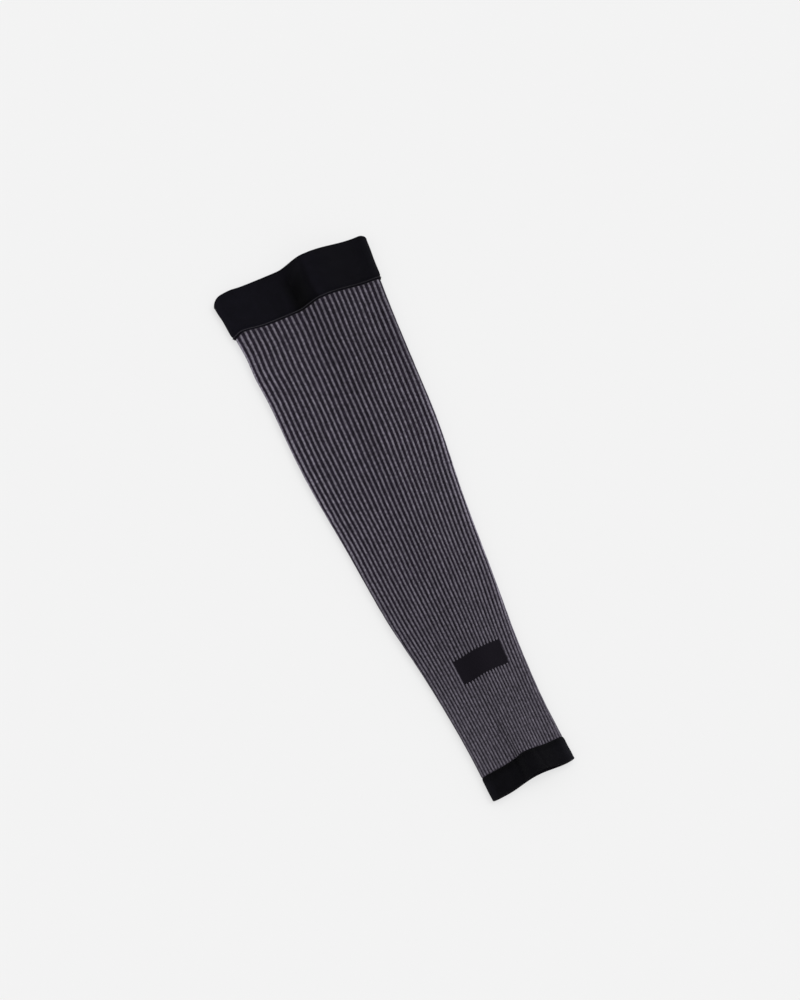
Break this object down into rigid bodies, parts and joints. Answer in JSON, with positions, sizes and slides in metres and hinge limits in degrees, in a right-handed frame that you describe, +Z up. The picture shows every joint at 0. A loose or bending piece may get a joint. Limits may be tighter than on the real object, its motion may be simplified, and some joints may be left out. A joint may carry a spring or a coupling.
{
  "type": "leg compression sleeve",
  "caption": "Long tapered tube of ribbed knit that covers the knee and leg, lying flat and hollow, with a smooth dark band at the thigh and a smooth cuff at the ankle.",
  "frame": {"origin": "on the surface that the sleeve lies on, under the middle of its box", "axes": "+X across the sleeve, +Y along it from the ankle cuff to the thigh band, +Z up from the surface"},
  "size_m": [0.1612, 0.5524, 0.0189],
  "materials": {
    "ribbed_knit": "matt rib knit, grey raised ribs over a black ground",
    "band_knit": "matt smooth black elastic knit",
    "cuff_knit": "matt smooth black elastic knit"
  },
  "bodies": {
    "root": {"sleeve_body": "ribbed_knit", "thigh_band": "band_knit", "ankle_cuff": "cuff_knit"}
  },
  "joints": []
}
